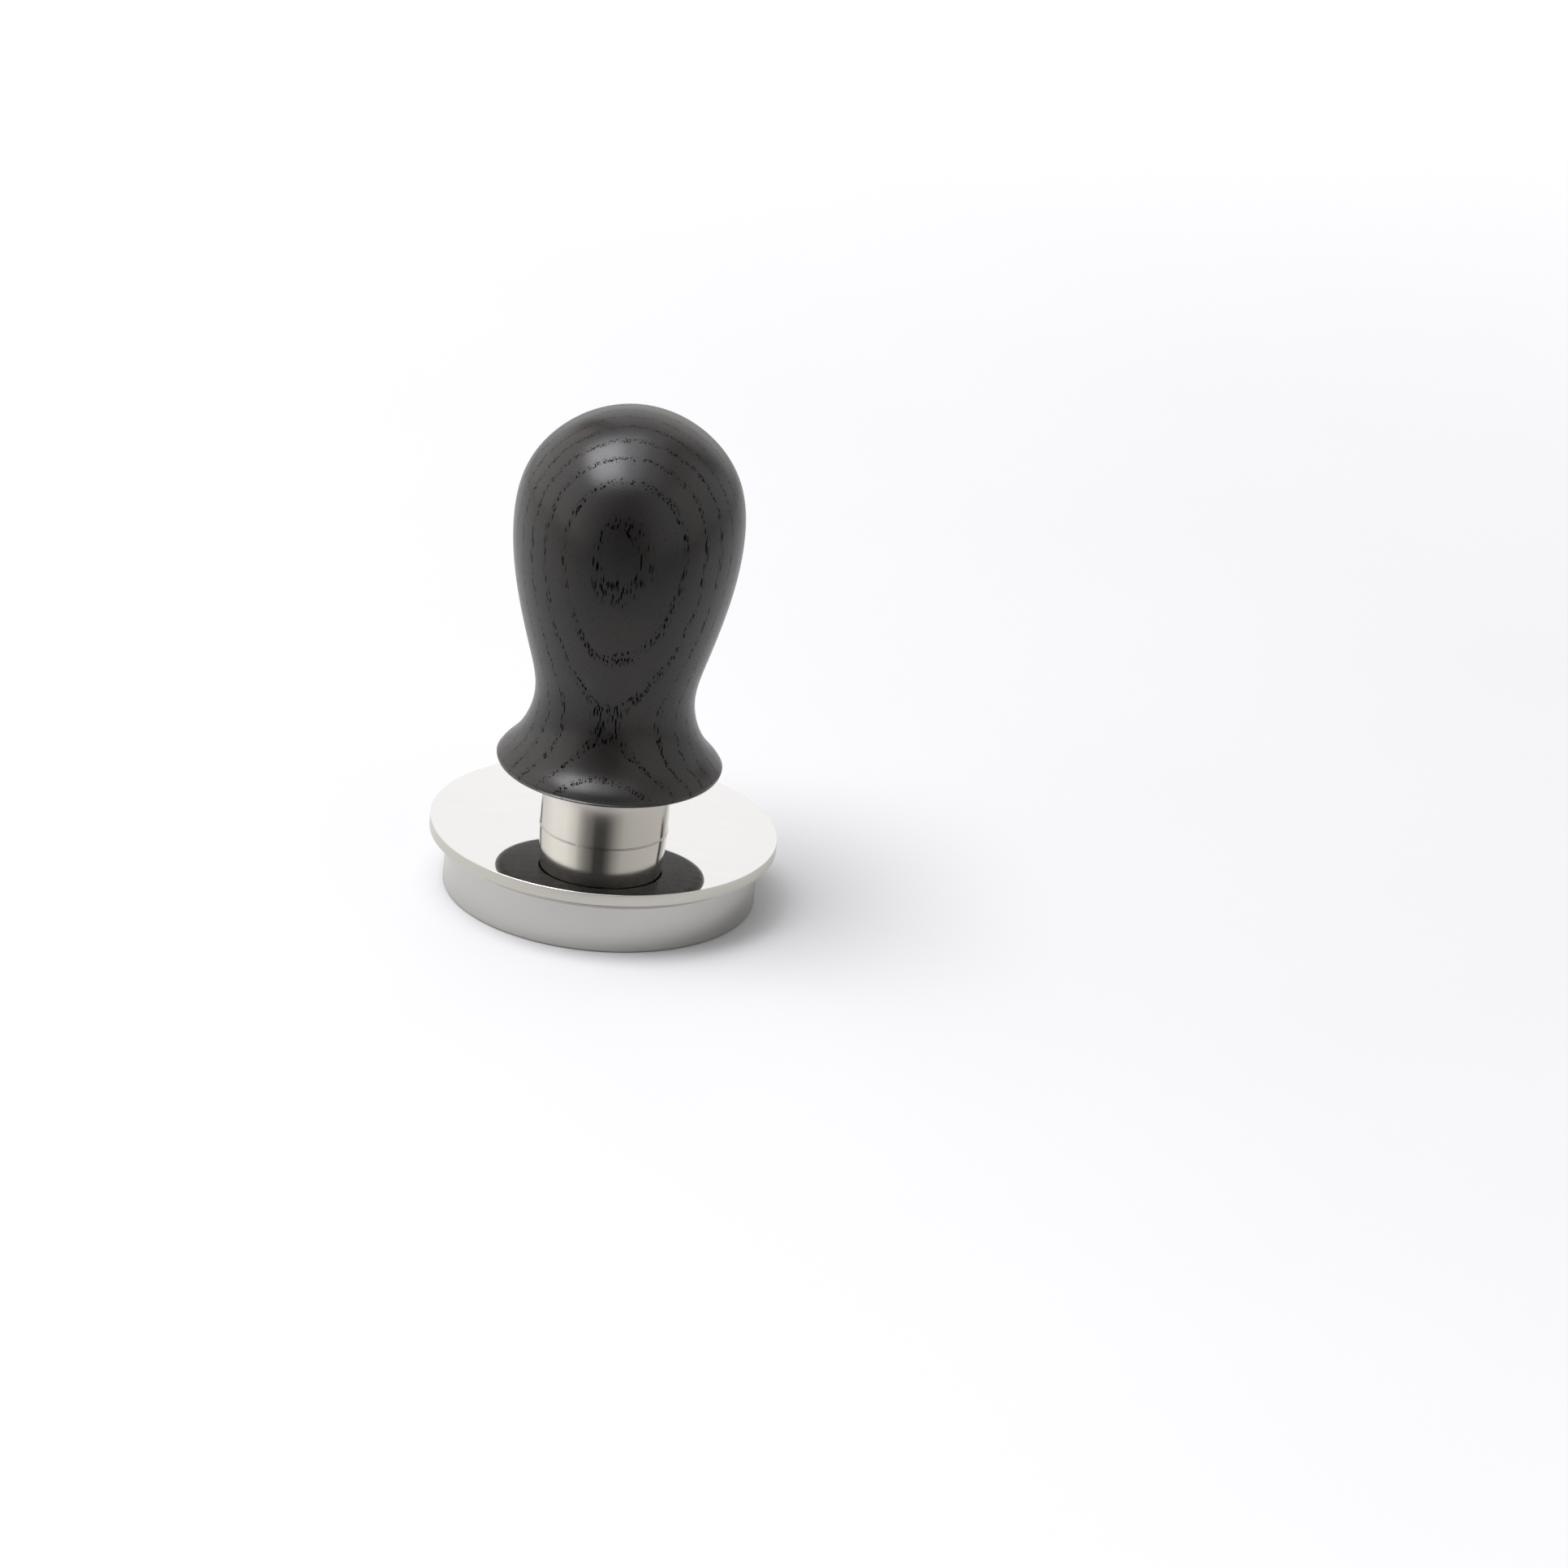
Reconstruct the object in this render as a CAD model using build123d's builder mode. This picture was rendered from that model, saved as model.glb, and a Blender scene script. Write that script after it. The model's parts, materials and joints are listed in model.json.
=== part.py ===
"""Calibrated, self-levelling espresso tamper for a 58 mm basket, in millimetres, +Z up.

The origin is the centre of the tamping face, which is what the tamper stands on.
Three groups of pieces slide on one vertical axis:
- the base: a heavy tamping disc on a piston rod that reaches up into the handle;
- the leveller: a thin plate that rests on the basket's rim, with the neck sleeve screwed to it,
  which rides up over the rod and into the handle as the disc goes down into the basket;
- the handle: a turned wooden grip around a spring housing, which sinks on the rod against the
  calibrated main spring.
"""
import os
from build123d import *

# ---- driving dimensions -------------------------------------------------------------------
BASE_R = 29.25            # tamping disc, 58.5 mm across
BASE_H = 10.0
LAND_GAP = 0.8            # between the disc and the land under the plate's rim
PLATE_R = 32.5            # levelling plate, 65 mm across
PLATE_T = 2.2
LAND_R = 29.7             # outside this radius the plate bears on the basket's rim
RELIEF = 0.2              # inside it the plate's underside is relieved by this much
NECK_R = 12.0             # neck sleeve, 24 mm across
NECK_GAP = 11.9           # bare neck between the plate and the wood
LEVEL_TRAVEL = 7.0        # how far the plate rides up the rod
PRESS_TRAVEL = 3.0        # how far the handle sinks on the rod

ROD_R = 5.0
HOUSING_R = 10.0
HOUSING_BORE_R = 8.5

RUNNING = 0.05            # radial clearance of a sliding fit
THREAD = 0.05             # radial gap left in a screwed or pressed joint
CLEAR = 0.3               # gap between pieces that pass each other without touching
EDGE = 0.5                # bevel that takes the sharpness off a machined edge

# ---- heights ------------------------------------------------------------------------------
PLATE_Z = BASE_H + LAND_GAP
PLATE_TOP = PLATE_Z + PLATE_T
WOOD_Z = PLATE_TOP + NECK_GAP
FLOOR_T = 5.0                                   # floor of the neck sleeve
NECK_IN_GRIP = 5.6                              # how far the neck reaches into the grip
SLEEVE_TOP = WOOD_Z + NECK_IN_GRIP
BUSH_FLANGE_T = 1.0
LEVEL_SPRING_Z = PLATE_TOP + FLOOR_T + BUSH_FLANGE_T
LEVEL_SPRING_L = 12.0                           # as fitted, already squeezed by 6 mm
COLLAR_Z = LEVEL_SPRING_Z + LEVEL_SPRING_L
COLLAR_T = 1.5
CLIP_T = 0.8
CLIP_ROOM = 0.7                                 # left above the clip with the handle pressed down
HOUSING_Z = COLLAR_Z + COLLAR_T + CLIP_T + PRESS_TRAVEL + CLIP_ROOM
HOUSING_L = 42.0
CAP_T = 5.0
STOP_WASHER_T = 1.0
HEAD_Z = HOUSING_Z + CAP_T + STOP_WASHER_T      # underside of the piston head
HEAD_T = 4.0
MAIN_SPRING_Z = HEAD_Z + HEAD_T
MAIN_SPRING_L = 25.0                            # as fitted, already squeezed by 5 mm
SEAT_T = 1.5
SHIM_T = 0.5
SHIM_COUNT = 2
HOUSING_TOP = HOUSING_Z + HOUSING_L

# ---- turned outline of the grip: radius and height above its underside ------------------------
FOOT_R = 21.05
FOOT_EDGE = 1.6
FOOT_SLOPE = (-0.6, 1)
GRIP_H = 70.3
GRIP_POINTS = [
    (18.7, 4.35),      # flare above the foot
    (14.86, 14.25),    # waist
    (16.4, 22.5),
    (21.23, 46.05),    # fullest part of the bulb
    (19.56, 57.7),     # shoulder
    (11.3, 67.0),
]

# ---- fasteners ----------------------------------------------------------------------------
PLATE_SCREWS = 3
PLATE_SCREW_PCD_R = 9.3
M3_R = 1.5
M5_R = 2.5
M6_R = 3.0
M8_R = 4.0

os.makedirs("parts", exist_ok=True)


def finish(piece, label):
    """Label a piece and write it to its own file."""
    piece.part.label = label
    export_step(piece.part, f"parts/{label}.step")


def tube(z, height, outer, inner, mode=Mode.ADD):
    """Add, or cut, a plain ring or tube that starts at height z."""
    with BuildSketch(Plane.XY.offset(z)) as ring:
        Circle(outer)
        Circle(inner, mode=Mode.SUBTRACT)
    extrude(ring.sketch, amount=height, mode=mode)


def rod(z, height, radius, mode=Mode.ADD):
    """Add, or cut, a plain cylinder that starts at height z."""
    with BuildSketch(Plane.XY.offset(z)) as disc:
        Circle(radius)
    extrude(disc.sketch, amount=height, mode=mode)


def cut_groove(z, width, bottom_r, surface_r):
    """Cut a groove round a shaft, from height z, down to bottom_r."""
    tube(z, width, surface_r + 1.0, bottom_r, Mode.SUBTRACT)


def outer_edges(builder, place):
    """Circular edges with the largest radius, at the bottom (0) or the top (-1) of a piece."""
    return builder.edges().filter_by(GeomType.CIRCLE).group_by(SortBy.RADIUS)[-1].sort_by(Axis.Z)[place]


def coil_spring(z, length, mean_r, wire_r, turns):
    """Add a compression spring of round wire that fills the height from z to z + length."""
    rise = length - 2 * wire_r
    with BuildLine() as coil:
        Helix(rise / turns, rise, mean_r, center=(0, 0, z + wire_r))
    with BuildSketch(Plane(origin=coil.line @ 0, z_dir=coil.line % 0)) as wire:
        Circle(wire_r)
    sweep(wire.sketch, path=coil.line, is_frenet=True)


# ==== base: disc, rod and piston ===============================================================
DISC_ROUND = 0.5
DISC_BEVEL = 1.2
BUMPER_R = 22.0
BUMPER_W = 2.4
BUMPER_DEPTH = 1.2
BUMPER_H = BUMPER_DEPTH + LAND_GAP + RELIEF     # the resting plate sits on this ring
BUMPER_ROUND = 0.4
SPIGOT_DEPTH = 6.5        # threaded end of the rod in the disc
SPIGOT_HOLE = SPIGOT_DEPTH + 0.5

with BuildPart() as tamping_base:
    rod(0, BASE_H, BASE_R)
    fillet(outer_edges(tamping_base, 0), DISC_ROUND)
    chamfer(outer_edges(tamping_base, -1), DISC_BEVEL)
    tube(BASE_H - BUMPER_DEPTH, BUMPER_DEPTH,
         BUMPER_R + BUMPER_W / 2, BUMPER_R - BUMPER_W / 2, Mode.SUBTRACT)
    rod(BASE_H - SPIGOT_HOLE, SPIGOT_HOLE, M8_R + THREAD, Mode.SUBTRACT)
finish(tamping_base, "tamping_base")

with BuildPart() as bumper_ring:
    tube(BASE_H - BUMPER_DEPTH, BUMPER_H,
         BUMPER_R + BUMPER_W / 2 - THREAD, BUMPER_R - BUMPER_W / 2 + THREAD)
    fillet(bumper_ring.faces().sort_by(Axis.Z)[-1].edges(), BUMPER_ROUND)
finish(bumper_ring, "bumper_ring")

ROD_SHIM_T = 0.5
ROD_SHIM_R = 7.0
with BuildPart() as rod_shim:
    tube(BASE_H, ROD_SHIM_T, ROD_SHIM_R, M8_R + THREAD)
finish(rod_shim, "rod_shim")

CLIP_GROOVE_R = 4.4
NUT_T = 3.0
LOCK_WASHER_T = 1.0
LOCK_WASHER_R = 4.4
NUT_STAND = 1.0           # thread that shows above the nut
ROD_SHOULDER = BASE_H + ROD_SHIM_T
with BuildPart() as piston_rod:
    rod(BASE_H - SPIGOT_DEPTH, SPIGOT_DEPTH + ROD_SHIM_T, M8_R)
    rod(ROD_SHOULDER, HEAD_Z - ROD_SHOULDER, ROD_R)
    rod(HEAD_Z, HEAD_T + LOCK_WASHER_T + NUT_T + NUT_STAND, M5_R)
    chamfer(piston_rod.faces().sort_by(Axis.Z)[-1].edges(), EDGE)
    chamfer(piston_rod.faces().sort_by(Axis.Z)[0].edges(), EDGE)
    cut_groove(COLLAR_Z + COLLAR_T, CLIP_T, CLIP_GROOVE_R, ROD_R)
finish(piston_rod, "piston_rod")

# The collar is the upper seat of the levelling spring; an open clip in the rod's groove holds it.
COLLAR_R = 8.6
with BuildPart() as spring_collar:
    tube(COLLAR_Z, COLLAR_T, COLLAR_R, ROD_R + THREAD)
    chamfer(outer_edges(spring_collar, -1), EDGE)
finish(spring_collar, "spring_collar")

CLIP_R = 6.6
CLIP_OPENING = 6.0
with BuildPart() as collar_clip:
    tube(COLLAR_Z + COLLAR_T, CLIP_T, CLIP_R, CLIP_GROOVE_R + THREAD)
    with BuildSketch(Plane.XY.offset(COLLAR_Z + COLLAR_T)):
        with Locations((CLIP_R, 0)):
            Rectangle(2 * CLIP_R, CLIP_OPENING)
    extrude(amount=CLIP_T, mode=Mode.SUBTRACT)
finish(collar_clip, "collar_clip")

RING_GROOVE_R = 7.0
RING_W = 1.6
HEAD_R = HOUSING_BORE_R - CLEAR
with BuildPart() as piston_head:
    tube(HEAD_Z, HEAD_T, HEAD_R, M5_R + THREAD)
    cut_groove(HEAD_Z + (HEAD_T - RING_W) / 2, RING_W, RING_GROOVE_R, HEAD_R)
finish(piston_head, "piston_head")

with BuildPart() as piston_ring:
    tube(HEAD_Z + (HEAD_T - RING_W) / 2 + THREAD, RING_W - 2 * THREAD,
         HOUSING_BORE_R - RUNNING, RING_GROOVE_R + THREAD)
finish(piston_ring, "piston_ring")

with BuildPart() as lock_washer:
    tube(MAIN_SPRING_Z, LOCK_WASHER_T, LOCK_WASHER_R, M5_R + THREAD)
finish(lock_washer, "lock_washer")

NUT_FLATS = 8.0
with BuildPart() as piston_nut:
    with BuildSketch(Plane.XY.offset(MAIN_SPRING_Z + LOCK_WASHER_T)):
        RegularPolygon(NUT_FLATS / 2, 6, major_radius=False)
        Circle(M5_R + THREAD, mode=Mode.SUBTRACT)
    extrude(amount=NUT_T)
finish(piston_nut, "piston_nut")

with BuildPart() as main_spring:
    coil_spring(MAIN_SPRING_Z, MAIN_SPRING_L, mean_r=7.0, wire_r=1.1, turns=8)
finish(main_spring, "main_spring")

with BuildPart() as levelling_spring:
    coil_spring(LEVEL_SPRING_Z, LEVEL_SPRING_L, mean_r=7.5, wire_r=0.45, turns=4.5)
finish(levelling_spring, "levelling_spring")


# ==== leveller: plate and neck ==================================================================
def screw_places():
    """The plate's screws, evenly round the axis."""
    return PolarLocations(PLATE_SCREW_PCD_R, PLATE_SCREWS, start_angle=90)


def screw_holes(z, depth):
    """Cut the screws' holes upwards from height z."""
    with BuildSketch(Plane.XY.offset(z)) as holes:
        with screw_places():
            Circle(M3_R + THREAD)
    extrude(holes.sketch, amount=depth, mode=Mode.SUBTRACT)


PLATE_HOLE_R = ROD_SHIM_R + 0.5
PLATE_EDGE = 0.12
SCREW_HEAD_R = 2.8
SCREW_SINK = 0.1          # heads sit just under the plate's lower face
SCREW_DEPTH = 4.0         # thread in the sleeve's floor
SCREW_HOLE = SCREW_DEPTH + 0.3
SOCKET_FLATS = 2.0
SOCKET_DEPTH = 1.2
CONE_H = SCREW_HEAD_R - M3_R                    # countersink of 90 degrees
SCREW_Z = PLATE_Z + RELIEF + SCREW_SINK

with BuildPart() as levelling_plate:
    tube(PLATE_Z, PLATE_T, PLATE_R, PLATE_HOLE_R)
    chamfer(levelling_plate.edges().filter_by(GeomType.CIRCLE).group_by(SortBy.RADIUS)[-1], PLATE_EDGE)
    rod(PLATE_Z, RELIEF, LAND_R, Mode.SUBTRACT)
    screw_holes(PLATE_Z, PLATE_T)
    with BuildSketch(Plane.XY.offset(PLATE_Z + RELIEF)):
        with screw_places():
            Circle(SCREW_HEAD_R + SCREW_SINK + THREAD)
    extrude(amount=CONE_H + SCREW_SINK, taper=45, mode=Mode.SUBTRACT)
finish(levelling_plate, "levelling_plate")

SLEEVE_BORE_R = 10.5
NECK_FOOT_ROUND = 0.25
BUSH_R = 7.0
BUSH_SHORT = 0.2          # the bush ends just above the plate
with BuildPart() as neck_sleeve:
    rod(PLATE_TOP, SLEEVE_TOP - PLATE_TOP, NECK_R)
    fillet(outer_edges(neck_sleeve, 0), NECK_FOOT_ROUND)
    chamfer(outer_edges(neck_sleeve, -1), EDGE)
    rod(PLATE_TOP + FLOOR_T, SLEEVE_TOP, SLEEVE_BORE_R, Mode.SUBTRACT)
    rod(PLATE_TOP, FLOOR_T, BUSH_R + THREAD, Mode.SUBTRACT)
    screw_holes(PLATE_TOP, SCREW_HOLE)
finish(neck_sleeve, "neck_sleeve")

with BuildPart() as guide_bush:
    tube(PLATE_TOP + BUSH_SHORT, FLOOR_T - BUSH_SHORT, BUSH_R, ROD_R + RUNNING)
    tube(PLATE_TOP + FLOOR_T, BUSH_FLANGE_T, COLLAR_R, ROD_R + RUNNING)
finish(guide_bush, "guide_bush")

with BuildPart() as plate_screws:
    with BuildSketch(Plane.XY.offset(SCREW_Z)):
        with screw_places():
            Circle(SCREW_HEAD_R)
    extrude(amount=CONE_H, taper=45)
    with BuildSketch(Plane.XY.offset(SCREW_Z)):
        with screw_places():
            Circle(M3_R)
    extrude(amount=PLATE_TOP + SCREW_DEPTH - SCREW_Z)
    with BuildSketch(Plane.XY.offset(SCREW_Z)):
        with screw_places():
            RegularPolygon(SOCKET_FLATS / 2, 6, major_radius=False)
    extrude(amount=SOCKET_DEPTH, mode=Mode.SUBTRACT)
finish(plate_screws, "plate_screws")

# ==== handle: spring housing and grip ===========================================================
CAP_R = HOUSING_BORE_R - THREAD
CAP_BUSH_R = 6.5
SPANNER_HOLE_R = 0.6
SPANNER_HOLE_DEPTH = 2.0
SEAT_R = HOUSING_BORE_R - 0.2                   # loose washers in the housing
SEAT_BORE_R = 3.5
HOUSING_FLOOR = HOUSING_TOP - 4.5               # underside of the housing's closed end

with BuildPart() as spring_housing:
    rod(HOUSING_Z, HOUSING_L, HOUSING_R)
    chamfer(outer_edges(spring_housing, 0), EDGE)
    chamfer(outer_edges(spring_housing, -1), EDGE)
    rod(HOUSING_Z, HOUSING_FLOOR - HOUSING_Z, HOUSING_BORE_R, Mode.SUBTRACT)
    rod(HOUSING_FLOOR, HOUSING_TOP - HOUSING_FLOOR, M6_R + THREAD, Mode.SUBTRACT)
finish(spring_housing, "spring_housing")

with BuildPart() as housing_cap:
    tube(HOUSING_Z, CAP_T, CAP_R, CAP_BUSH_R + THREAD)
    with BuildSketch(Plane.XY.offset(HOUSING_Z)):
        with PolarLocations((CAP_R + CAP_BUSH_R) / 2, 2):
            Circle(SPANNER_HOLE_R)
    extrude(amount=SPANNER_HOLE_DEPTH, mode=Mode.SUBTRACT)
finish(housing_cap, "housing_cap")

with BuildPart() as cap_bush:
    tube(HOUSING_Z, CAP_T, CAP_BUSH_R, ROD_R + RUNNING)
finish(cap_bush, "cap_bush")

with BuildPart() as stop_washer:
    tube(HOUSING_Z + CAP_T, STOP_WASHER_T, SEAT_R, ROD_R + CLEAR)
finish(stop_washer, "stop_washer")

with BuildPart() as spring_seat:
    tube(MAIN_SPRING_Z + MAIN_SPRING_L, SEAT_T, SEAT_R, SEAT_BORE_R)
    chamfer(outer_edges(spring_seat, 0), EDGE)
finish(spring_seat, "spring_seat")

SHIM_Z = MAIN_SPRING_Z + MAIN_SPRING_L + SEAT_T
for i in range(SHIM_COUNT):
    with BuildPart() as preload_shim:
        tube(SHIM_Z + i * SHIM_T, SHIM_T, SEAT_R, SEAT_BORE_R)
    finish(preload_shim, f"preload_shim_{i + 1}")

INSERT_L = 9.0
INSERT_R = 5.0
INSERT_GROOVE_W = 0.8
INSERT_GROOVE_DEPTH = 0.5
STUD_GAP = 0.5            # the stud ends this far inside the housing's floor and the insert's top
with BuildPart() as handle_stud:
    rod(HOUSING_FLOOR + STUD_GAP, HOUSING_TOP + INSERT_L - HOUSING_FLOOR - 2 * STUD_GAP, M6_R)
    chamfer(handle_stud.edges().filter_by(GeomType.CIRCLE), EDGE)
finish(handle_stud, "handle_stud")

with BuildPart() as threaded_insert:
    tube(HOUSING_TOP, INSERT_L, INSERT_R, M6_R + THREAD)
    for share in (0.25, 0.5, 0.75):
        cut_groove(HOUSING_TOP + INSERT_L * share, INSERT_GROOVE_W,
                   INSERT_R - INSERT_GROOVE_DEPTH, INSERT_R)
finish(threaded_insert, "threaded_insert")

# The neck rises into the wide part of the grip's bore, which also comes down with the handle.
SLEEVE_WELL_TOP = SLEEVE_TOP + LEVEL_TRAVEL + PRESS_TRAVEL + 1.5
INSERT_WELL_TOP = HOUSING_TOP + INSERT_L + 0.2
with BuildPart() as wood_handle:
    with BuildSketch(Plane.XZ):
        with BuildLine():
            bore = Polyline(
                (0, INSERT_WELL_TOP),
                (INSERT_R + THREAD, INSERT_WELL_TOP),
                (INSERT_R + THREAD, HOUSING_TOP),
                (HOUSING_R + THREAD, HOUSING_TOP),
                (HOUSING_R + THREAD, SLEEVE_WELL_TOP),
                (NECK_R + CLEAR, SLEEVE_WELL_TOP),
                (NECK_R + CLEAR, WOOD_Z),
                (FOOT_R - FOOT_EDGE, WOOD_Z),
            )
            foot = RadiusArc(bore @ 1, (FOOT_R, WOOD_Z + FOOT_EDGE), -FOOT_EDGE)
            side = Spline(
                foot @ 1,
                *[(r, WOOD_Z + h) for r, h in GRIP_POINTS],
                (0, WOOD_Z + GRIP_H),
                tangents=[FOOT_SLOPE, (-1, 0)],
                tangent_scalars=(1, 1),
            )
            Line(side @ 1, bore @ 0)
        make_face()
    revolve(axis=Axis.Z)
finish(wood_handle, "wood_handle")
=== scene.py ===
"""Espresso tamper: turned wooden grip, satin neck, mirror levelling plate and tamping disc, in metres."""
import json
from math import cos, pi, radians, sin

import bmesh
import bpy
import numpy as np
from mathutils import Matrix, Quaternion, Vector


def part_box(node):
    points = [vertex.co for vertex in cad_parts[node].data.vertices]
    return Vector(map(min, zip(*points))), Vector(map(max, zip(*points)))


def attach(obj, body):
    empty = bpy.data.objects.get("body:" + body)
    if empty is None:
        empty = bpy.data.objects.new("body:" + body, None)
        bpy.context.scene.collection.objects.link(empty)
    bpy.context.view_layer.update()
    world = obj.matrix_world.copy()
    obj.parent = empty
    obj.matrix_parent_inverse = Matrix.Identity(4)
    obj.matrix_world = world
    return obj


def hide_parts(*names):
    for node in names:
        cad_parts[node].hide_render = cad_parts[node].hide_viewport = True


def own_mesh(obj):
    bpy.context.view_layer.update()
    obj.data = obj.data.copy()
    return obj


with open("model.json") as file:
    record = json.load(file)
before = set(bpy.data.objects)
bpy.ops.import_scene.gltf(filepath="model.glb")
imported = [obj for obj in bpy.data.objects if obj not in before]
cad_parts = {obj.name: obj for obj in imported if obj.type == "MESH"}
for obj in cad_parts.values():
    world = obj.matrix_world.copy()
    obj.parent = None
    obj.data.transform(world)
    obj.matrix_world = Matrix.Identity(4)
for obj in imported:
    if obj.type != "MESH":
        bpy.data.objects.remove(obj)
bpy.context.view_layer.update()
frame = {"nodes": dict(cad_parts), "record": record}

MM = 0.001
SIDES = 256                     # facets round a turned piece
ON_AXIS = 1e-7                  # a smaller radius is a point on the axis
SHARP = radians(32)             # edges at a larger angle stay sharp

# ---- places and sizes, read from the frame ---------------------------------------------------
base_lo, base_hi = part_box("tamping_base")
plate_lo, plate_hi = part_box("levelling_plate")
neck_lo, neck_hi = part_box("neck_sleeve")
grip_lo, grip_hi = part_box("wood_handle")
bumper_lo, bumper_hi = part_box("bumper_ring")
housing_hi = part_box("spring_housing")[1]
insert_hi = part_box("threaded_insert")[1]
rod_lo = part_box("piston_rod")[0]
shim_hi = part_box("rod_shim")[1]

# ---- grip, in mm ---------------------------------------------------------------------------------
# GRIP_POINTS are the turned outline's (radius, height above the grip's underside), between foot and top.
FOOT_R = 21.05
FOOT_EDGE = 1.6                 # radius of the foot's rounded lower edge
GRIP_POINTS = [(18.7, 4.35), (14.86, 14.25), (16.4, 22.5), (21.23, 46.05), (19.56, 57.7), (11.3, 67.0)]
FOOT_SLOPE = (-0.6, 1)          # the outline leaves the foot upwards and inwards
TOP_SLOPE = (-1, 0)             # and meets the axis level
GRIP_STEPS = 150                # points along the outline
SLEEVE_WELL = 17.1              # depth of the wide part of the grip's bore
NECK_GAP = 0.3                  # between the grip and the neck
PUSH_FIT = 0.05                 # round a piece that sits in a bore or a groove
INSERT_ROOM = 0.2               # above the insert

# ---- neck, in mm ---------------------------------------------------------------------------------
NECK_BORE_R = 10.5
NECK_FLOOR = 5.0                # thickness of the floor that holds the bush
NECK_HOLE_R = 7.05              # the floor's hole, round the bush
NECK_EDGE = 0.3
NECK_BEAD = 0.11                # burnished bead round the neck's foot
BEAD_STEPS = 8

# ---- plate and disc, in mm -----------------------------------------------------------------------
PLATE_EDGE = 0.12
PLATE_ROOM = 0.5                # between the rod's shim and the plate's hole
LAND_R = 29.7                   # inner radius of the land that rests on the basket's rim
RELIEF = 0.2                    # height of the plate's underside above its land
DISC_EDGE = 0.5
DISC_CHAMFER = 1.2
BUMPER_GROOVE = 2.35            # from the rubber ring's outside to its groove's inner wall
SPIGOT_R = 4.05                 # hole for the rod's threaded end
SPIGOT_ROOM = 0.5               # below the rod's end

# ---- springs: mean radius and wire radius in mm, and turns ---------------------------------------
LIGHT_SPRING = (7.5, 0.45, 5)
FORCE_SPRING = (7.0, 1.1, 8)
STEPS_PER_TURN = 40
WIRE_SIDES = 14
CLOSED_PITCH = 0.95             # rise of a closed end turn, in wire diameters
GROUND_END = 0.4                # height of the wire's centre above the ground end, in wire radii


# ==== shader graphs =============================================================================
class Graph:
    """Adds shader nodes to one tree. A value is a number, a tuple or another node's output."""

    def __init__(self, tree):
        self.tree = tree
        tree.nodes.clear()

    def add(self, kind, values=None, **settings):
        node = self.tree.nodes.new(kind)
        for key, value in settings.items():
            setattr(node, key, value)
        for name, value in (values or {}).items():
            self.put(node.inputs[name], value)
        return node

    def put(self, socket, value):
        if isinstance(value, bpy.types.NodeSocket):
            self.tree.links.new(value, socket)
        else:
            socket.default_value = value

    def math(self, operation, a, b=0.0):
        return self.add("ShaderNodeMath", {0: a, 1: b}, operation=operation).outputs[0]

    def length(self, x, y):
        squares = self.math("ADD", self.math("MULTIPLY", x, x), self.math("MULTIPLY", y, y))
        return self.math("SQRT", squares)

    def step(self, value, low, high):
        """0 below low, 1 above high, smooth between; falls instead if low is above high."""
        node = self.add("ShaderNodeMapRange", {"Value": value, "From Min": low, "From Max": high})
        node.interpolation_type = "SMOOTHSTEP"
        return node.outputs["Result"]

    def span(self, value, low, high):
        """Stretches a 0 to 1 value over low to high."""
        node = self.add("ShaderNodeMapRange", {"Value": value, "To Min": low, "To Max": high})
        return node.outputs["Result"]

    def mix(self, factor, a, b):
        node = self.add("ShaderNodeMix", data_type="RGBA")
        self.put(node.inputs["Factor"], factor)
        self.put(node.inputs[6], a)
        self.put(node.inputs[7], b)
        return node.outputs[2]

    def scaled(self, vector, scale):
        node = self.add("ShaderNodeVectorMath", {0: vector, 1: scale}, operation="MULTIPLY")
        return node.outputs[0]

    def noise(self, point, scale, detail=2.0, roughness=0.5):
        """Noise at a point in mm; scale is along each axis, so 0.05 makes features about 20 mm long."""
        values = {"Vector": self.scaled(point, scale), "Scale": 1.0, "Detail": detail, "Roughness": roughness}
        return self.add("ShaderNodeTexNoise", values).outputs["Fac"]

    def cells(self, point, scale):
        """Voronoi cells at a point in mm."""
        return self.add("ShaderNodeTexVoronoi", {"Vector": self.scaled(point, scale), "Scale": 1.0}).outputs

    def millimetres(self):
        metres = self.add("ShaderNodeTexCoord").outputs["Object"]
        return self.scaled(metres, (1000.0, 1000.0, 1000.0))

    def axes(self, vector):
        return self.add("ShaderNodeSeparateXYZ", {0: vector}).outputs

    def bump(self, height, strength, distance, under=None):
        """Bumped normal, distance in metres, on top of the normal under."""
        values = {"Height": height, "Strength": strength, "Distance": distance}
        if under:
            values["Normal"] = under
        return self.add("ShaderNodeBump", values).outputs[0]

    def surface(self, values):
        shader = self.add("ShaderNodeBsdfPrincipled", values)
        self.add("ShaderNodeOutputMaterial", {"Surface": shader.outputs[0]})


def new_material(name):
    material = bpy.data.materials.new(name)
    material.use_nodes = True
    return material, Graph(material.node_tree)


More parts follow.
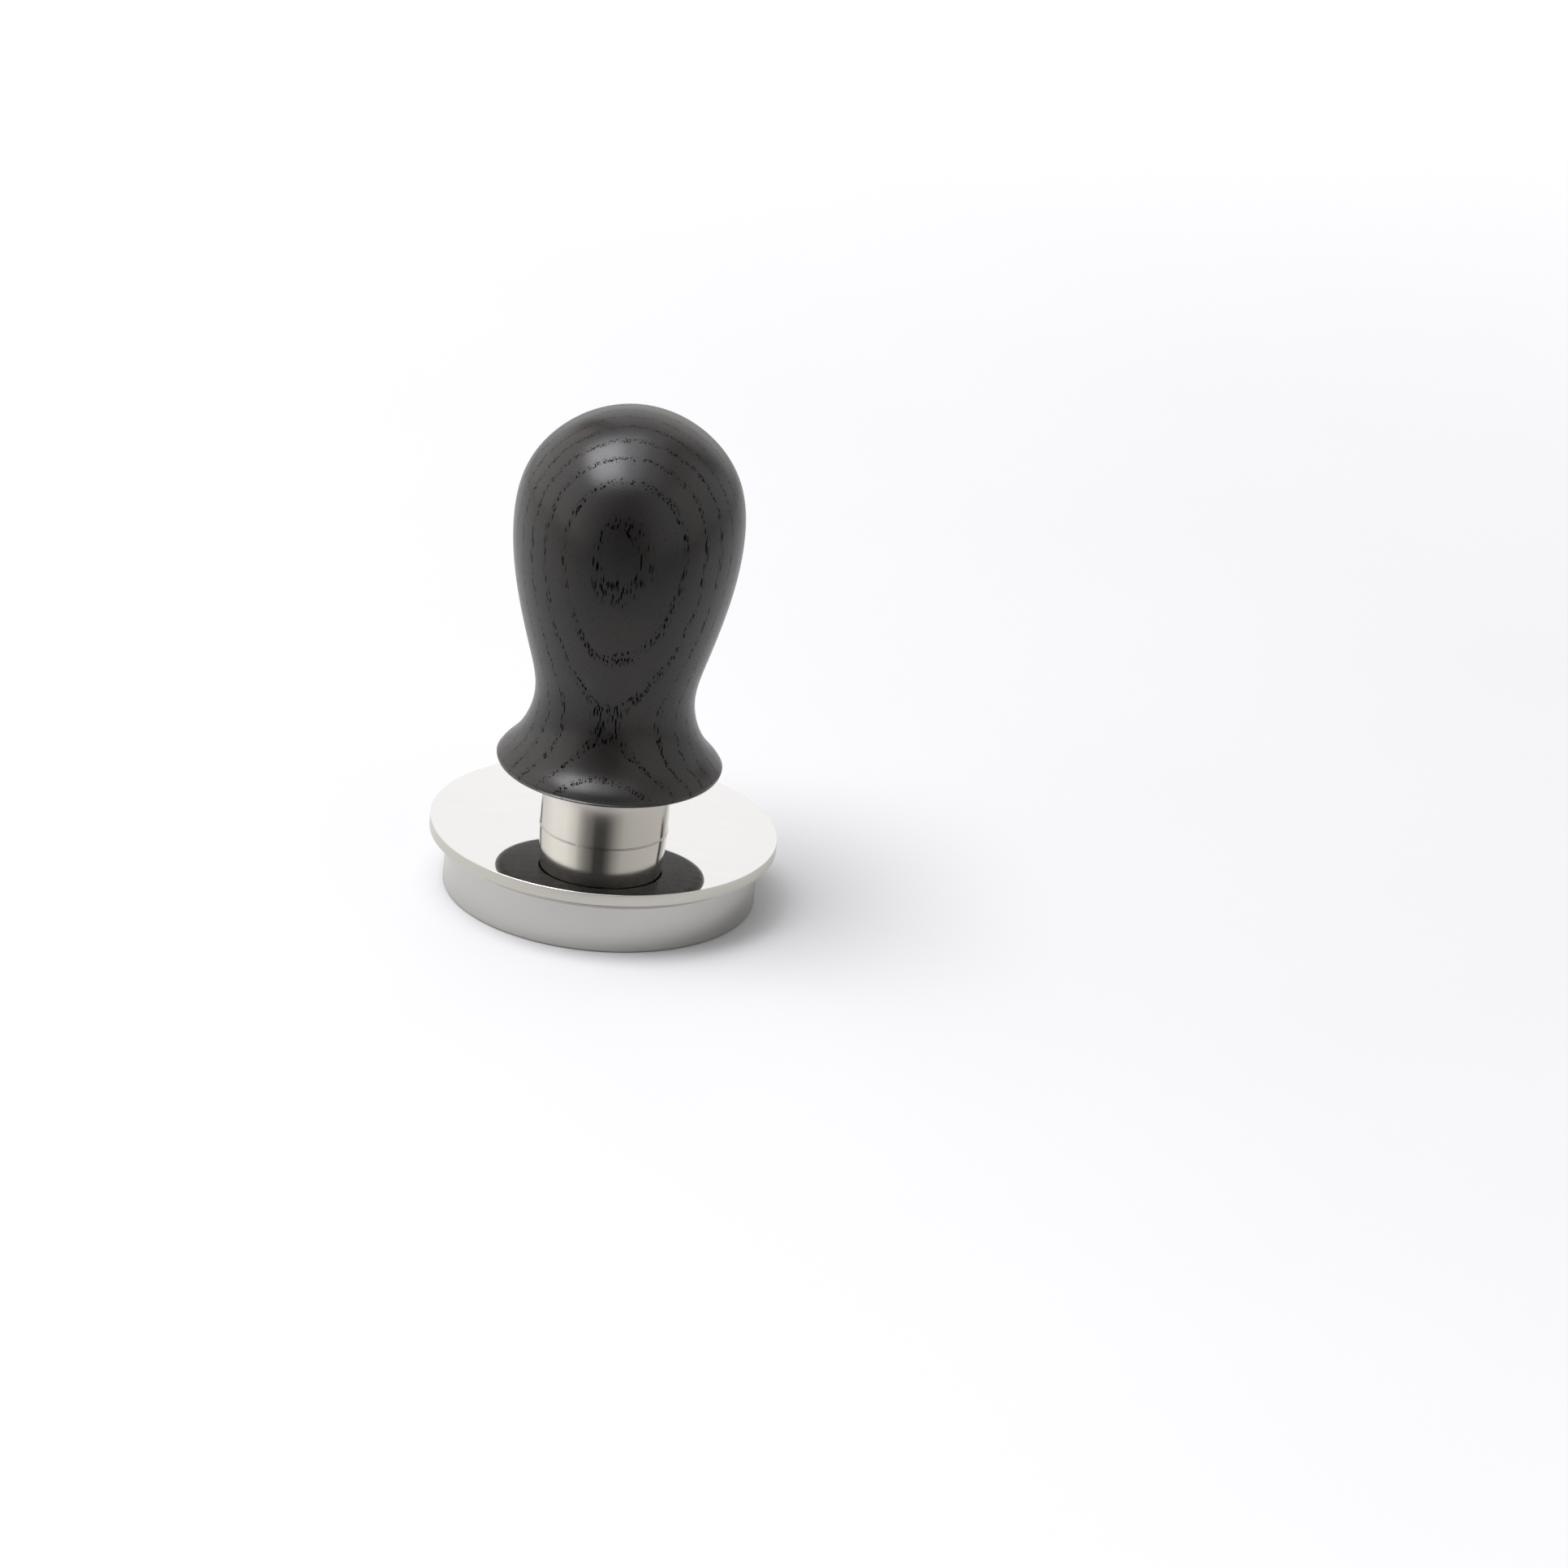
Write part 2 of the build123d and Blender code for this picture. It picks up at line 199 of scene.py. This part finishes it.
def stained_oak():
    """Dark stained open-pored oak, with growth rings as sheets through the block and pores along them."""
    material, g = new_material("stained_oak")
    point = g.millimetres()
    x, y, z = g.axes(point)[:3]

    # the tree's centre lies in front of the grip and leans over it; all in mm
    pith_x, pith_y = -1.0, -92.0
    pith_height = 70.0              # where the centre is at pith_y
    pith_lean = 0.027               # how far it moves back for each mm up
    ring_width = 3.3
    ring_start = 1.45
    slow = g.noise(point, (0.05, 0.05, 0.014), detail=1.0)
    ripple = g.noise(point, (0.5, 0.5, 0.06))
    dx = g.math("SUBTRACT", x, pith_x)
    dy = g.math("SUBTRACT", y, g.math("MULTIPLY", g.math("SUBTRACT", z, pith_height), pith_lean))
    dy = g.math("SUBTRACT", dy, pith_y)
    from_pith = g.math("ADD", g.length(dx, dy), g.span(slow, -1.2, 1.2))
    from_pith = g.math("ADD", from_pith, g.span(ripple, -0.45, 0.45))
    ring = g.math("FRACT", g.math("DIVIDE", g.math("SUBTRACT", from_pith, ring_start), ring_width))
    early = g.math("MULTIPLY", g.step(ring, 0.0, 0.06), g.step(ring, 0.34, 0.16))

    # pores: long cells along the trunk, crowded in the early part of each ring, and fine ones anywhere
    cells = g.cells(point, (2.9, 2.9, 0.42))
    sparse = g.span(g.noise(point, (0.13, 0.13, 0.05), detail=1.0), -0.35, 0.85)
    luck = g.axes(cells["Color"])[0]
    crowd = g.math("MULTIPLY", early, g.step(g.math("SUBTRACT", luck, sparse), 0.0, 0.08))
    big = g.math("MULTIPLY", g.step(cells["Distance"], 0.50, 0.36), crowd)
    fine = g.cells(point, (4.2, 4.2, 0.8))
    fine_luck = g.axes(fine["Color"])[1]
    small = g.math("MULTIPLY", g.step(fine["Distance"], 0.30, 0.16), g.step(fine_luck, 0.86, 0.9))
    pores = g.math("MAXIMUM", big, g.math("MULTIPLY", small, 0.7))

    fibre = g.noise(point, (7.0, 7.0, 0.25), detail=3.0, roughness=0.6)
    patch = g.noise(point, (0.09, 0.09, 0.03))
    wood = g.mix(g.step(patch, 0.38, 0.66), (0.019, 0.0175, 0.0165, 1), (0.029, 0.0235, 0.019, 1))
    wood = g.mix(g.span(fibre, 0.0, 0.7), wood, (0.012, 0.0105, 0.010, 1))
    wood = g.mix(g.math("MULTIPLY", early, 0.4), wood, (0.010, 0.0085, 0.008, 1))
    # painted shade: the insides of the deep pores are painted near black
    wood = g.mix(pores, wood, (0.0015, 0.0012, 0.0012, 1))

    turning = g.noise(point, (0.05, 0.05, 6.0))
    relief = g.math("SUBTRACT", g.math("MULTIPLY", fibre, 0.2), pores)
    normal = g.bump(relief, 0.2, 0.1 * MM)
    normal = g.bump(turning, 0.12, 0.05 * MM, normal)
    # painted shade: a pore is a deep hole, so it is painted near black and made metallic, and reflects
    # nothing
    g.surface({
        "Base Color": wood,
        "Metallic": pores,
        "Roughness": g.span(fibre, 0.23, 0.31),
        "IOR": 1.5,
        "Normal": normal,
    })
    return material


def turned_metal(name, colour, roughness, marks=0.3, groove=0.12, anisotropy=0.6, dull=0.08):
    """Lathe-turned metal with grooves about groove mm apart, painted darker in the grooves as painted shade;
    marks is their bump, dull the handling wear.
    """
    material, g = new_material(name)
    point = g.millimetres()
    x, y, z = g.axes(point)[:3]
    profile = g.add("ShaderNodeCombineXYZ", {0: g.length(x, y), 2: z}).outputs[0]
    grooves = g.noise(profile, (1 / groove, 1 / groove, 1 / groove), detail=3.0, roughness=0.7)
    wear = g.noise(point, (0.16, 0.16, 0.16), detail=4.0, roughness=0.6)
    # painted shade in the grooves: the groove colour is the metal's colour darkened
    painted_groove_shade = tuple(0.78 * c for c in colour[:3]) + (1,)
    rough = g.span(grooves, roughness - 0.03, roughness + 0.04)
    tangent = g.add("ShaderNodeTangent", direction_type="RADIAL", axis="Z").outputs[0]
    g.surface({
        "Base Color": g.mix(g.span(grooves, 0.0, 0.5), colour, painted_groove_shade),
        "Metallic": 1.0,
        "Roughness": g.math("ADD", rough, g.span(wear, -dull, dull)),
        "Anisotropic": anisotropy,
        "Anisotropic Rotation": 0.25,
        "Tangent": tangent,
        "Normal": g.bump(grooves, marks, 0.02 * MM),
    })
    return material


def mirror_steel():
    """Mirror-polished steel with faint smears; the plate's side wall is turned and satin, and its colour
    there is a painted reflection, darker and warmer.
    """
    material, g = new_material("mirror_steel")
    point = g.millimetres()
    smear = g.noise(point, (0.08, 0.3, 0.3), detail=4.0, roughness=0.6)
    grain = g.noise(point, (1.2, 1.2, 1.2), detail=3.0)
    upright = g.axes(g.add("ShaderNodeTexCoord").outputs["Normal"])[2]
    wall = g.step(g.math("ABSOLUTE", upright), 0.7, 0.3)
    rough = g.math("ADD", g.span(smear, 0.015, 0.05), g.span(grain, 0.0, 0.012))
    rough = g.math("ADD", rough, g.math("MULTIPLY", wall, 0.12))
    shade = g.mix(smear, (0.90, 0.89, 0.875, 1), (0.86, 0.85, 0.835, 1))
    # painted reflection: the side wall's colour is darker and warmer to stand in for what it would reflect;
    # its extra roughness is the real satin finish
    shade = g.mix(wall, shade, (0.68, 0.655, 0.60, 1))
    g.surface({"Base Color": shade, "Metallic": 1.0, "Roughness": rough})
    return material


def moulded(name, colour, roughness, speckle=0.25):
    """Moulded rubber or polymer, with a fine mottle and a slightly uneven skin."""
    material, g = new_material(name)
    point = g.millimetres()
    mottle = g.noise(point, (1.5, 1.5, 1.5), detail=4.0)
    skin = g.noise(point, (9.0, 9.0, 9.0))
    dark = tuple((1 - speckle) * c for c in colour[:3]) + (1,)
    g.surface({
        "Base Color": g.mix(mottle, dark, colour),
        "Roughness": g.span(mottle, roughness - 0.07, roughness + 0.07),
        "Normal": g.bump(skin, 0.2, 0.03 * MM),
    })
    return material


SLOTS = {
    "stained_wood": stained_oak(),
    "mirror_steel": mirror_steel(),
    "turned_steel": turned_metal(
        "turned_steel", (0.68, 0.65, 0.60, 1), 0.13, marks=0.05, anisotropy=0.7, dull=0.02),
    "brushed_base": turned_metal("brushed_base", (0.68, 0.67, 0.65, 1), 0.20, groove=0.18),
    "plain_steel": turned_metal("plain_steel", (0.60, 0.60, 0.60, 1), 0.30, groove=0.2),
    "spring_wire": turned_metal("spring_wire", (0.42, 0.42, 0.44, 1), 0.34, groove=0.3, anisotropy=0.2),
    "turned_aluminium": turned_metal("turned_aluminium", (0.76, 0.77, 0.79, 1), 0.28, groove=0.25),
    "insert_brass": turned_metal("insert_brass", (0.78, 0.60, 0.30, 1), 0.30, groove=0.2),
    "bush_bronze": turned_metal("bush_bronze", (0.62, 0.42, 0.24, 1), 0.42, groove=0.15, anisotropy=0.1),
    "slide_polymer": moulded("slide_polymer", (0.80, 0.79, 0.75, 1), 0.45, speckle=0.06),
    "black_rubber": moulded("black_rubber", (0.022, 0.022, 0.023, 1), 0.62),
}


# ==== turned shapes =============================================================================
def turned(name, outline, closed=True):
    """Solid of revolution about Z of (radius, height) points in metres; closed joins last to first."""
    bm = bmesh.new()
    turns = [2 * pi * k / SIDES for k in range(SIDES)]
    rings = []
    for radius, height in outline:
        if radius < ON_AXIS:
            rings.append([bm.verts.new((0, 0, height))])
        else:
            rings.append([bm.verts.new((radius * cos(a), radius * sin(a), height)) for a in turns])
    pairs = list(zip(rings, rings[1:]))
    if closed:
        pairs.append((rings[-1], rings[0]))
    for lower, upper in pairs:
        for k in range(SIDES):
            n = (k + 1) % SIDES
            corners = [lower[k % len(lower)], lower[n % len(lower)],
                       upper[n % len(upper)], upper[k % len(upper)]]
            corners = list(dict.fromkeys(corners))      # a ring on the axis has only one
            if len(corners) > 2:
                bm.faces.new(corners)
    bmesh.ops.recalc_face_normals(bm, faces=bm.faces)
    return add_mesh(name, bm)


def add_mesh(name, bm):
    """Makes a smooth-shaded object of the mesh."""
    mesh = bpy.data.meshes.new(name)
    bm.to_mesh(mesh)
    bm.free()
    mesh.shade_smooth()
    mesh.set_sharp_from_angle(angle=SHARP)
    piece = bpy.data.objects.new(name, mesh)
    bpy.context.scene.collection.objects.link(piece)
    return piece


def rounded(corner, start, end, radius, steps=6):
    """Points of a quarter-round at a corner; start and end are unit directions from the corner."""
    (r, z), (ar, az), (br, bz) = corner, start, end
    centre = (r + radius * (ar + br), z + radius * (az + bz))
    points = []
    for k in range(steps + 1):
        a = pi / 2 * k / steps
        points.append((centre[0] - radius * (br * cos(a) + ar * sin(a)),
                       centre[1] - radius * (bz * cos(a) + az * sin(a))))
    return points


def smooth_curve(points, start_slope, end_slope, count):
    """Cubic spline through points, spaced by chord length, with its slope given at both ends."""
    p = np.array(points, float)
    t = np.concatenate([[0], np.cumsum(np.hypot(*np.diff(p, axis=0).T))])
    n = len(p)
    a = np.zeros((n, n))
    b = np.zeros((n, 2))
    a[0, 0] = a[-1, -1] = 1
    b[0], b[-1] = start_slope, end_slope
    h = np.diff(t)
    d = np.diff(p, axis=0) / h[:, None]
    for i in range(1, n - 1):
        a[i, i - 1], a[i, i], a[i, i + 1] = h[i], 2 * (h[i - 1] + h[i]), h[i - 1]
        b[i] = 3 * (h[i] * d[i - 1] + h[i - 1] * d[i])
    slope = np.linalg.solve(a, b)
    result = []
    for s in np.linspace(0, t[-1], count):
        i = min(np.searchsorted(t, s, side="right") - 1, n - 2)
        u = (s - t[i]) / h[i]
        result.append((2 * u**3 - 3 * u**2 + 1) * p[i] + (u**3 - 2 * u**2 + u) * h[i] * slope[i]
                      + (3 * u**2 - 2 * u**3) * p[i + 1] + (u**3 - u**2) * h[i] * slope[i + 1])
    return result


def declare(piece, body, slot, *nodes):
    """Gives a new piece its body, its material and the CAD nodes that it stands for."""
    piece.data.materials.append(SLOTS[slot])
    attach(piece, body)
    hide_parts(*nodes)


def make_grip():
    foot, top = grip_lo.z, grip_hi.z
    knots = [(FOOT_R, FOOT_EDGE)] + GRIP_POINTS
    knots = [(r * MM, foot + h * MM) for r, h in knots] + [(0, top)]
    side = [tuple(q) for q in smooth_curve(knots, FOOT_SLOPE, TOP_SLOPE, GRIP_STEPS)]
    side[-1] = (0, top)                 # exactly on the axis
    edge = rounded((FOOT_R * MM, foot), (-1, 0), (0, 1), FOOT_EDGE * MM, 10)

    well_top = foot + SLEEVE_WELL * MM
    insert_top = insert_hi.z + INSERT_ROOM * MM
    neck_r = neck_hi.x + NECK_GAP * MM
    housing_r = housing_hi.x + PUSH_FIT * MM
    insert_r = insert_hi.x + PUSH_FIT * MM
    bore = [
        (0, insert_top),
        (insert_r, insert_top),
        (insert_r, housing_hi.z),
        (housing_r, housing_hi.z),
        (housing_r, well_top),
        (neck_r, well_top),
        (neck_r, foot),
    ]
    declare(turned("grip", bore + edge + side[1:], closed=False), "handle", "stained_wood", "wood_handle")


def make_neck():
    bottom, top, r = neck_lo.z, neck_hi.z, neck_hi.x
    bore, hole, bead = NECK_BORE_R * MM, NECK_HOLE_R * MM, NECK_BEAD * MM
    floor = bottom + NECK_FLOOR * MM
    foot = []
    for k in range(BEAD_STEPS + 1):
        a = pi * k / BEAD_STEPS - pi / 2
        foot.append((r + bead * cos(a), bottom + bead + bead * sin(a)))
    outline = foot + rounded((r, top), (0, -1), (-1, 0), NECK_EDGE * MM)
    outline += [(bore, top), (bore, floor), (hole, floor), (hole, bottom)]
    declare(turned("neck", outline), "leveller", "turned_steel", "neck_sleeve")


def make_plate():
    low, high, r = plate_lo.z, plate_hi.z, plate_hi.x
    hole = shim_hi.x + PLATE_ROOM * MM
    land, edge = LAND_R * MM, PLATE_EDGE * MM
    under = low + RELIEF * MM
    outline = rounded((r, low), (-1, 0), (0, 1), edge, 4)
    outline += rounded((r, high), (0, -1), (-1, 0), edge, 4)
    outline += [(hole, high), (hole, under), (land, under), (land, low)]
    declare(turned("plate", outline), "leveller", "mirror_steel", "levelling_plate")


def make_disc():
    low, high, r = base_lo.z, base_hi.z, base_hi.x
    chamfer, spigot = DISC_CHAMFER * MM, SPIGOT_R * MM
    groove_out, groove_in = bumper_hi.x + PUSH_FIT * MM, bumper_hi.x - BUMPER_GROOVE * MM
    spigot_floor = rod_lo.z - SPIGOT_ROOM * MM
    outline = [(0, low)] + rounded((r, low), (-1, 0), (0, 1), DISC_EDGE * MM)
    outline += [
        (r, high - chamfer),
        (r - chamfer, high),
        (groove_out, high),
        (groove_out, bumper_lo.z),
        (groove_in, bumper_lo.z),
        (groove_in, high),
        (spigot, high),
        (spigot, spigot_floor),
        (0, spigot_floor),
    ]
    declare(turned("disc", outline, closed=False), "base", "brushed_base", "tamping_base")


def make_spring(name, node, shape):
    """Compression spring with closed, ground end turns."""
    low, high = (corner.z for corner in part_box(node))
    mean_r, wire_r, turns = shape[0] * MM, shape[1] * MM, shape[2]
    closed_rise = CLOSED_PITCH * 2 * wire_r
    first, last = low + GROUND_END * wire_r, high - GROUND_END * wire_r
    closed_share = 1 / turns                  # share of the coil in one closed end turn
    along = [0, closed_share, 1 - closed_share, 1]
    heights = [first, first + closed_rise, last - closed_rise, last]

    bm = bmesh.new()
    steps = turns * STEPS_PER_TURN
    previous = None
    for k in range(steps + 1):
        t = k / steps
        centre = np.interp(t, along, heights)
        a = 2 * pi * turns * t
        ring = []
        for j in range(WIRE_SIDES):
            b = 2 * pi * j / WIRE_SIDES
            r = mean_r + wire_r * cos(b)
            height = min(max(centre + wire_r * sin(b), low), high)
            ring.append(bm.verts.new((r * cos(a), r * sin(a), height)))
        if previous:
            for j in range(WIRE_SIDES):
                n = (j + 1) % WIRE_SIDES
                bm.faces.new((previous[j], previous[n], ring[n], ring[j]))
        else:
            bm.faces.new(ring)
        previous = ring
    bm.faces.new(previous)
    bmesh.ops.recalc_face_normals(bm, faces=bm.faces)
    piece = add_mesh(name, bm)
    declare(piece, "base", "spring_wire", node)
    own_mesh(piece)


def dress_cad_nodes():
    """Every CAD piece gets the material of its slot."""
    slot_of = {part["node"]: part["material_slot"] for part in frame["record"]["subparts"]}
    for name, node in frame["nodes"].items():
        node.data.materials.clear()
        node.data.materials.append(SLOTS[slot_of[name]])


dress_cad_nodes()
make_grip()
make_neck()
make_plate()
make_disc()
make_spring("light_spring", "levelling_spring", LIGHT_SPRING)
make_spring("force_spring", "main_spring", FORCE_SPRING)


# ==== studio ====================================================================================
FLOOR_FRONT = -0.27             # the paper ends just outside the view, so that the front stays dark
FLOOR_SPREAD = 3.0
PAPER_DARKENS = (0.02, -0.22)   # painted shade: in reflections and bounced light the paper is painted darker between these distances in front
PAPER_GLOWS = (0.10, 1.5)       # for the camera it turns white between these distances from the tamper
GLOW = 0.9


def make_floor():
    """White paper. The camera sees it pale all round, glowing further off; other rays, as in the metal's
    reflections, see it painted darker towards the front, as painted shade.
    """
    bm = bmesh.new()
    corners = [(-FLOOR_SPREAD, FLOOR_FRONT), (FLOOR_SPREAD, FLOOR_FRONT),
               (FLOOR_SPREAD, FLOOR_SPREAD), (-FLOOR_SPREAD, FLOOR_SPREAD)]
    bm.faces.new([bm.verts.new((x, y, 0)) for x, y in corners])
    floor = add_mesh("floor", bm)
    material, g = new_material("paper")
    x, y = g.axes(g.add("ShaderNodeTexCoord").outputs["Object"])[:2]
    tone = g.noise(g.millimetres(), (0.01, 0.01, 0.01))
    paper = g.mix(tone, (0.70, 0.70, 0.70, 1), (0.68, 0.68, 0.68, 1))
    reflected_painted_shade = g.mix(g.step(y, *PAPER_DARKENS), (0.58, 0.58, 0.57, 1), (0.18, 0.18, 0.18, 1))
    seen = g.add("ShaderNodeLightPath").outputs["Is Camera Ray"]
    glow = g.math("MULTIPLY", g.step(g.length(x, y), *PAPER_GLOWS), GLOW)
    g.surface({
        "Base Color": g.mix(seen, reflected_painted_shade, paper),
        "Roughness": 0.9,
        "Specular IOR Level": 0.0,
        "Emission Color": (1, 1, 1, 1),
        "Emission Strength": g.math("MULTIPLY", glow, seen),
    })
    floor.data.materials.append(material)


# The walls of the studio: azimuth in degrees, 0 in front of the tamper and 90 on its right, and brightness.
WALLS = [
    (-180, 1.00), (-163, 1.00), (-147, 0.90), (-100, 1.30), (-70, 1.25),        # white back and bright left
    (-50, 0.90), (-40, 0.50), (-30, 0.28), (-18, 0.15), (-13, 0.06),
    (3, 0.06), (13, 0.18), (22, 0.35), (38, 0.60),                              # dark round the camera
    (60, 0.68), (130, 0.75), (137, 0.50), (152, 0.95), (180, 1.00),             # dimmer right
]
BRIGHTEST = 1.5                         # brightness of a ramp colour of 1
CEILING = (35, 60, 0.5)                 # it dims between these elevations in degrees, down to this share
FLAGS = [(-161, -149), (124, 135)]      # two narrow black flags darken the sides of the neck
FLAG_EDGE = 2                           # degrees over which a flag's side fades
FLAG_BOTTOM = (17, 20)                  # a flag starts between these elevations
FLAG_DARK = 0.95                        # share of the light that it takes


def wall_colour(level):
    return (level / BRIGHTEST, level / BRIGHTEST, level / BRIGHTEST, 1)


def make_world():
    """Studio walls round the tamper, dimmer towards the ceiling; the camera itself sees plain white."""
    world = bpy.data.worlds.new("studio")
    bpy.context.scene.world = world
    world.use_nodes = True
    g = Graph(world.node_tree)
    x, y, z = g.axes(g.add("ShaderNodeTexCoord").outputs["Generated"])[:3]
    turn = g.math("ARCTAN2", x, g.math("MULTIPLY", y, -1.0))
    ramp = g.add("ShaderNodeValToRGB", {"Fac": g.math("ADD", g.math("DIVIDE", turn, 2 * pi), 0.5)})
    stops = ramp.color_ramp.elements            # starts with one stop at 0 and one at 1
    for azimuth, level in WALLS[1:-1]:
        stops.new(azimuth / 360 + 0.5).color = wall_colour(level)
    stops[0].color = wall_colour(WALLS[0][1])
    stops[-1].color = wall_colour(WALLS[-1][1])
    low, high, dimmed = CEILING
    ceiling = g.span(g.step(z, sin(radians(low)), sin(radians(high))), 1.0, dimmed)
    level = g.math("MULTIPLY", g.math("MULTIPLY", ramp.outputs["Color"], BRIGHTEST), ceiling)
    raised = g.step(z, sin(radians(FLAG_BOTTOM[0])), sin(radians(FLAG_BOTTOM[1])))
    for start, end in FLAGS:
        sides = g.math("MULTIPLY", g.step(turn, radians(start), radians(start + FLAG_EDGE)),
                       g.step(turn, radians(end), radians(end - FLAG_EDGE)))
        flag = g.math("MULTIPLY", g.math("MULTIPLY", sides, raised), FLAG_DARK)
        level = g.math("MULTIPLY", level, g.math("SUBTRACT", 1.0, flag))
    seen = g.add("ShaderNodeLightPath").outputs["Is Camera Ray"]
    shine = g.add("ShaderNodeBackground", {"Color": (1, 1, 1, 1), "Strength": level})
    plain = g.add("ShaderNodeBackground", {"Color": (1, 1, 1, 1), "Strength": 1.0})
    both = g.add("ShaderNodeMixShader", {0: seen, 1: shine.outputs[0], 2: plain.outputs[0]})
    g.add("ShaderNodeOutputWorld", {"Surface": both.outputs[0]})


# The softbox hangs overhead on the left: a bright core inside two dimmer surrounds.
# Each has a name, x, y, size and brightness, with lengths in metres.
SOFTBOX_HEIGHT = 1.2
SOFTBOX_COLOUR = (0.96, 0.95, 1.0)
SOFTBOX = [
    ("softbox_core", -0.54, -0.14, (0.66, 0.90), 6.8),
    ("softbox_middle", -0.36, -0.14, (1.00, 1.20), 2.2),
    ("softbox_rim", -0.22, -0.14, (1.44, 1.44), 0.6),
]


def area_light(name, location, size, brightness):
    """Rectangular light that faces the floor."""
    data = bpy.data.lights.new(name, "AREA")
    data.shape = "RECTANGLE"
    data.size, data.size_y = size
    data.energy = brightness * pi * size[0] * size[1]
    data.color = SOFTBOX_COLOUR
    light = bpy.data.objects.new(name, data)
    light.location = location
    bpy.context.scene.collection.objects.link(light)


# The camera stands 1.2 m off with a long lens. Like the photographer's, it leans a few degrees and looks past
# the tamper's right side, so the tamper stands left of the middle.
VIEW_DISTANCE = 1.2
VIEW_ELEVATION = radians(23.23)
VIEW_LEAN = radians(4.93)
LENS = 147.4                    # mm, on a sensor 36 mm wide
SENSOR = 36
PAN = -0.02806                  # where the plate's centre lies in the view, as slopes from the lens's axis
TILT = -0.00626


def make_camera():
    data = bpy.data.cameras.new("camera")
    data.lens = LENS
    data.sensor_width = SENSOR
    data.clip_start, data.clip_end = 0.05, 20
    camera = bpy.data.objects.new("camera", data)
    target = Vector((0, 0, plate_hi.z))
    away = Vector((0, -cos(VIEW_ELEVATION), sin(VIEW_ELEVATION)))
    straight = (-away).to_track_quat("-Z", "Y")
    lean = Quaternion((0, 0, 1), VIEW_LEAN)
    turn = Vector((PAN, TILT, -1)).rotation_difference(Vector((0, 0, -1)))
    facing = (straight @ lean @ turn).to_matrix().to_4x4()
    camera.matrix_world = Matrix.Translation(target + VIEW_DISTANCE * away) @ facing
    bpy.context.scene.collection.objects.link(camera)
    bpy.context.scene.camera = camera


make_floor()
make_world()
make_camera()
for name, x, y, size, brightness in SOFTBOX:
    area_light(name, (x, y, SOFTBOX_HEIGHT), size, brightness)
bpy.context.scene.view_settings.view_transform = "Standard"

bpy.context.view_layer.update()
